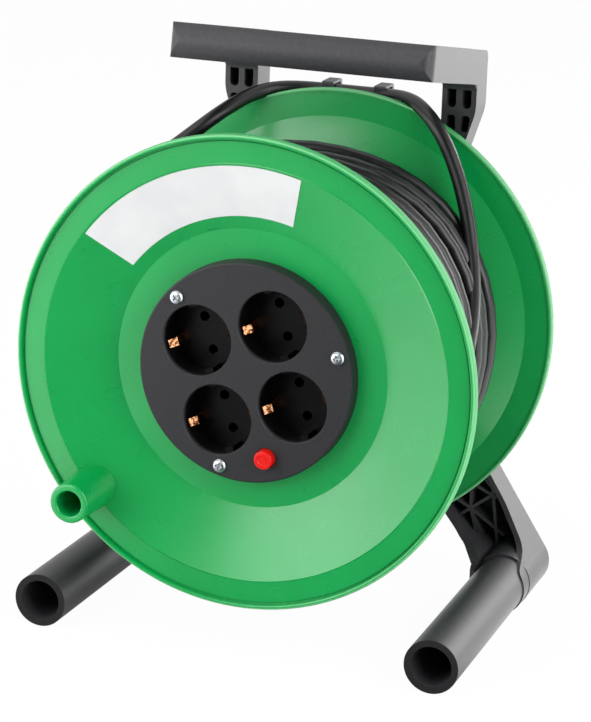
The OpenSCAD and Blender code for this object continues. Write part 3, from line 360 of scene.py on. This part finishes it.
def insert_polyamide():
    """Polyamide, moulded with a fine eroded grain: an even dark grey."""
    material, tree, place = new_material("grey_polyamide_grained")
    mottle = add_node(tree, "TexNoise", {"Vector": place}, Scale=per(1.4), Detail=3.0)
    tint = add_node(tree, "ValToRGB", {"Fac": mottle.outputs["Fac"]},
                    stops=((0.3, "#242427"), (0.7, "#2C2C2F")))
    dull = add_node(tree, "MapRange", {"Value": mottle.outputs["Fac"]}, To_Min=0.45, To_Max=0.55)
    grain = add_node(tree, "TexNoise", {"Vector": place}, Scale=per(0.7), Detail=2.0)
    relief = add_node(tree, "Bump", {"Height": grain.outputs["Fac"]}, Distance=0.02 * MM)
    close_surface(tree, {"Base Color": tint.outputs[0], "Roughness": dull.outputs[0],
                         "Normal": relief.outputs[0]}, IOR=1.53, Specular_IOR_Level=0.3)
    return material


def cup_polyamide():
    """Flame-proof polyamide, moulded smooth: near black with a soft gloss."""
    material, tree, place = new_material("black_polyamide_smooth")
    clouds = add_node(tree, "TexNoise", {"Vector": place}, Scale=per(5), Detail=3.0)
    tint = add_node(tree, "ValToRGB", {"Fac": clouds.outputs["Fac"]},
                    stops=((0.35, "#070708"), (0.65, "#0C0C0E")))
    dull = add_node(tree, "MapRange", {"Value": clouds.outputs["Fac"]}, To_Min=0.32, To_Max=0.42)
    grain = add_node(tree, "TexNoise", {"Vector": place}, Scale=per(0.9), Detail=2.0)
    relief = add_node(tree, "Bump", {"Height": grain.outputs["Fac"]}, Distance=0.01 * MM)
    close_surface(tree, {"Base Color": tint.outputs[0], "Roughness": dull.outputs[0],
                         "Normal": relief.outputs[0]}, IOR=1.53, Specular_IOR_Level=0.2)
    return material


def zinc_plated_steel():
    """Steel, cold headed and zinc plated: bright bluish grey with a patchy bloom."""
    material, tree, place = new_material("zinc_plated_steel")
    bloom = add_node(tree, "TexNoise", {"Vector": place}, Scale=per(1.5), Detail=3.0)
    tint = add_node(tree, "ValToRGB", {"Fac": bloom.outputs["Fac"]},
                    stops=((0.35, "#CFD4DC"), (0.65, "#ECEFF3")))
    dull = add_node(tree, "MapRange", {"Value": bloom.outputs["Fac"]}, To_Min=0.34, To_Max=0.48)
    grain = add_node(tree, "TexNoise", {"Vector": place}, Scale=per(0.5), Detail=3.0)
    relief = add_node(tree, "Bump", {"Height": grain.outputs["Fac"]}, Distance=0.01 * MM)
    close_surface(tree, {"Base Color": tint.outputs[0], "Roughness": dull.outputs[0],
                         "Normal": relief.outputs[0]}, Metallic=1.0)
    return material


def stamped_strip(name, dark, light):
    """Copper alloy strip, rolled, stamped and a little tarnished: warm metal with dark patches and the
    dents of the die."""
    material, tree, place = new_material(name)
    patches = add_node(tree, "TexNoise", {"Vector": place}, Scale=per(1.6), Detail=3.0)
    tint = add_node(tree, "ValToRGB", {"Fac": patches.outputs["Fac"]}, stops=((0.42, dark), (0.58, light)))
    dull = add_node(tree, "MapRange", {"Value": patches.outputs["Fac"]}, To_Min=0.2, To_Max=0.4)
    grain = add_node(tree, "TexNoise", {"Vector": place}, Scale=per(1.3), Detail=2.0)
    relief = add_node(tree, "Bump", {"Height": grain.outputs["Fac"]}, Distance=0.25 * MM)
    close_surface(tree, {"Base Color": tint.outputs[0], "Roughness": dull.outputs[0],
                         "Normal": relief.outputs[0]}, Metallic=1.0)
    return material


def nickel_plated_brass():
    """Brass pins, turned and nickel plated: smooth and bright, with faint turning marks."""
    material, tree, place = new_material("nickel_plated_brass_turned")
    bands = add_node(tree, "TexWave", {"Vector": place}, bands_direction="Z", Scale=per(2.5),
                     Distortion=0.6)
    tint = add_node(tree, "ValToRGB", {"Fac": bands.outputs["Fac"]},
                    stops=((0.2, "#9C9A94"), (0.8, "#B0AEA8")))
    dull = add_node(tree, "MapRange", {"Value": bands.outputs["Fac"]}, To_Min=0.26, To_Max=0.36)
    close_surface(tree, {"Base Color": tint.outputs[0], "Roughness": dull.outputs[0]}, Metallic=1.0)
    return material


def red_polycarbonate():
    """Polycarbonate, moulded glossy: a signal red push button."""
    material, tree, place = new_material("red_polycarbonate_gloss")
    clouds = add_node(tree, "TexNoise", {"Vector": place}, Scale=per(4), Detail=3.0)
    tint = add_node(tree, "ValToRGB", {"Fac": clouds.outputs["Fac"]},
                    stops=((0.35, "#C80A04"), (0.65, "#D4110A")))
    dull = add_node(tree, "MapRange", {"Value": clouds.outputs["Fac"]}, To_Min=0.24, To_Max=0.34)
    close_surface(tree, {"Base Color": tint.outputs[0], "Roughness": dull.outputs[0]}, IOR=1.58,
                  Specular_IOR_Level=0.25)
    return material


def label_film():
    """Polyester film, coated white and left unprinted: smooth with a faint waviness."""
    material, tree, place = new_material("white_polyester_film")
    clouds = add_node(tree, "TexNoise", {"Vector": place}, Scale=per(20), Detail=3.0)
    tint = add_node(tree, "ValToRGB", {"Fac": clouds.outputs["Fac"]},
                    stops=((0.35, "#CCCCCE"), (0.65, "#D3D3D4")))
    waves = add_node(tree, "TexNoise", {"Vector": place}, Scale=per(8), Detail=3.0)
    dull = add_node(tree, "MapRange", {"Value": waves.outputs["Fac"]}, To_Min=0.35, To_Max=0.45)
    relief = add_node(tree, "Bump", {"Height": waves.outputs["Fac"]}, Distance=0.01 * MM)
    close_surface(tree, {"Base Color": tint.outputs[0], "Roughness": dull.outputs[0],
                         "Normal": relief.outputs[0]})
    return material


def lead_pvc():
    """Soft PVC, extruded over three twisted cores: a dull sheen with light scuffs."""
    material, tree, place = new_material("black_pvc_extruded")
    scuff = add_node(tree, "TexNoise", {"Vector": place}, Scale=per(7), Detail=5.0, Roughness=0.65)
    tint = add_node(tree, "ValToRGB", {"Fac": scuff.outputs["Fac"]},
                    stops=((0.4, "#0C0C0E"), (0.7, "#161619")))
    dull = add_node(tree, "MapRange", {"Value": scuff.outputs["Fac"]}, To_Min=0.3, To_Max=0.45)
    grain = add_node(tree, "TexNoise", {"Vector": place}, Scale=per(2.0), Detail=2.0)
    relief = add_node(tree, "Bump", {"Height": grain.outputs["Fac"]}, Distance=0.03 * MM)
    close_surface(tree, {"Base Color": tint.outputs[0], "Roughness": dull.outputs[0],
                         "Normal": relief.outputs[0]}, IOR=1.53)
    return material


FINISHES = [
    (green_polypropylene(), ["front_flange", "rear_flange", "drum_barrel"]),
    (black_polypropylene(), ["rear_frame", "carry_handle", "axle_spindle", "strain_clamp"]),
    (tube_polypropylene(), ["foot_tube_left", "foot_tube_right"]),
    (insert_polyamide(), ["socket_plate"]),
    (cup_polyamide(), ["socket_cup_1", "socket_cup_2", "socket_cup_3", "socket_cup_4",
                       "contact_carrier", "breaker_body"]),
    (zinc_plated_steel(), ["handle_screws", "foot_tube_screws", "spindle_screws", "retaining_washer",
                           "axle_screw", "barrel_screws", "clamp_screws", "plate_screws"]),
    (stamped_strip("copper_alloy_strip", "#4A2413", "#E0A274"),
     ["earth_clip_1", "earth_clip_2", "earth_clip_3", "earth_clip_4", "plug_earth_strips"]),
    (stamped_strip("brass_bar_tarnished", "#1C1510", "#2E2218"), ["live_bar", "neutral_bar"]),
    (nickel_plated_brass(), ["plug_pins"]),
    (red_polycarbonate(), ["reset_button"]),
    (label_film(), ["rating_label"]),
    (lead_pvc(), ["plug_body", "entry_grommet"]),
]


def give_finish(piece, material):
    piece.data.materials.clear()
    piece.data.materials.append(material)


for finish, names in FINISHES:
    for name in names:
        give_finish(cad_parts[name], finish)
jacket = bpy.data.materials["black_pvc_extruded"]
give_finish(free_lead, jacket)
give_finish(wound_lead, jacket)


# ---------------------------------------------------------------- studio

CAMERA_SHARE = 0.965        # share of the floor that is plain white to the camera; the rest takes shadow


def make_floor():
    """White paper floor: nearly white to the camera, with a soft shadow, and in gloss a glow of painted light
    and shade.
    """
    bpy.ops.mesh.primitive_plane_add(size=14, location=(0, 0, 0))
    floor = bpy.context.object
    floor.name = "studio_floor"
    material, tree, place = new_material("white_paper_floor")
    fibres = add_node(tree, "TexNoise", {"Vector": place}, Scale=per(3), Detail=3.0)
    tint = add_node(tree, "ValToRGB", {"Fac": fibres.outputs["Fac"]},
                    stops=((0.3, "#F1F1F1"), (0.7, "#F6F6F6")))
    paper = add_node(tree, "BsdfPrincipled", {"Base Color": tint.outputs[0]}, Roughness=0.8)
    # In gloss the paper is over twice as bright as white at the left, right and back, and dark in front
    lit_side = add_node(tree, "VectorMath", {0: place, 1: (-1.0, 0.6, 0.0)}, operation="DOT_PRODUCT")
    shine = add_node(tree, "MapRange", {"Value": lit_side.outputs["Value"]},
                     interpolation_type="SMOOTHSTEP", From_Min=-0.14, From_Max=0.10, To_Min=0.03, To_Max=2.2)
    right_side = add_node(tree, "VectorMath", {0: place, 1: (1.0, 0.9, 0.0)}, operation="DOT_PRODUCT")
    right = add_node(tree, "MapRange", {"Value": right_side.outputs["Value"]},
                     interpolation_type="SMOOTHSTEP", From_Min=0.02, From_Max=0.16, To_Min=0.0, To_Max=2.5)
    # At the left, painted shade: in gloss the paper near the reel glows less
    reach = add_node(tree, "VectorMath", {0: place}, operation="LENGTH")
    away = add_node(tree, "MapRange", {"Value": reach.outputs["Value"]}, interpolation_type="SMOOTHSTEP",
                    From_Min=0.22, From_Max=0.38, To_Min=0.2, To_Max=1.0)
    left = add_node(tree, "Math", {0: shine.outputs[0], 1: away.outputs[0]}, operation="MULTIPLY")
    bright = add_node(tree, "Math", {0: left.outputs[0], 1: right.outputs[0]}, operation="MAXIMUM")
    path = add_node(tree, "LightPath")
    gloss = add_node(tree, "Math", {0: path.outputs["Is Glossy Ray"], 1: path.outputs["Is Transmission Ray"]},
                     operation="MAXIMUM")
    level = add_node(tree, "Mix", {0: gloss.outputs[0], 2: 1.0, 3: bright.outputs[0]}, data_type="FLOAT")
    glow = add_node(tree, "Emission", {"Strength": level.outputs[0]}, Color=(1, 1, 1, 1))
    seen = add_node(tree, "Math", {0: path.outputs["Is Camera Ray"], 1: CAMERA_SHARE},
                    operation="MULTIPLY")
    share = add_node(tree, "Math", {0: seen.outputs[0], 1: gloss.outputs[0]}, operation="MAXIMUM")
    mix = add_node(tree, "MixShader", {0: share.outputs[0], 1: paper.outputs[0], 2: glow.outputs[0]})
    add_node(tree, "OutputMaterial", {"Surface": mix.outputs[0]})
    give_finish(floor, material)


def make_world():
    """White where the camera looks, white with a dim front in gloss, and plain even light elsewhere."""
    world = bpy.data.worlds.new("studio_world")
    bpy.context.scene.world = world
    world.use_nodes = True
    tree = world.node_tree
    tree.nodes.clear()
    path = add_node(tree, "LightPath")
    way = add_node(tree, "TexCoord").outputs["Generated"]
    front = Vector((0.25, -0.95, 0.1)).normalized()
    ahead = add_node(tree, "VectorMath", {0: way, 1: front}, operation="DOT_PRODUCT")
    dim = add_node(tree, "MapRange", {"Value": ahead.outputs["Value"]}, interpolation_type="SMOOTHSTEP",
                   From_Min=-0.1, From_Max=0.5, To_Min=1.0, To_Max=0.05)
    gloss = add_node(tree, "Math", {0: path.outputs["Is Glossy Ray"], 1: path.outputs["Is Transmission Ray"]},
                     operation="MAXIMUM")
    plain = add_node(tree, "MapRange", {"Value": path.outputs["Is Camera Ray"]}, To_Min=0.5, To_Max=1.0)
    mix = add_node(tree, "Mix", {0: gloss.outputs[0], 2: plain.outputs[0], 3: dim.outputs[0]},
                   data_type="FLOAT")
    light = add_node(tree, "Background", {"Strength": mix.outputs[0]}, Color=(1, 1, 1, 1))
    add_node(tree, "OutputWorld", {"Surface": light.outputs[0]})


def softbox(name, at, aim, size, power):
    """A rectangular area lamp: its place and aim in metres, its size in metres and its power in watts."""
    data = bpy.data.lights.new(name, "AREA")
    data.shape = "RECTANGLE"
    data.size, data.size_y = size
    data.energy = power
    lamp = bpy.data.objects.new(name, data)
    lamp.location = at
    lamp.rotation_euler = (Vector(aim) - Vector(at)).to_track_quat("-Z", "Y").to_euler()
    bpy.context.scene.collection.objects.link(lamp)


make_floor()
make_world()
softbox("key_from_left", (-0.82, -0.88, 0.55), (0, 0, 0.15), (1.15, 0.9), 12)
softbox("top_from_left", (-0.4, -0.7, 1.5), (0, 0, 0.18), (0.9, 0.7), 5)
softbox("fill_from_right", (1.3, -0.5, 0.8), (0, 0, 0.18), (0.9, 0.9), 15)
softbox("strip_behind_right", (0.75, 1.3, 0.5), (0.05, 0.05, 0.2), (0.7, 0.9), 11)
bpy.context.scene.view_settings.view_transform = "Standard"
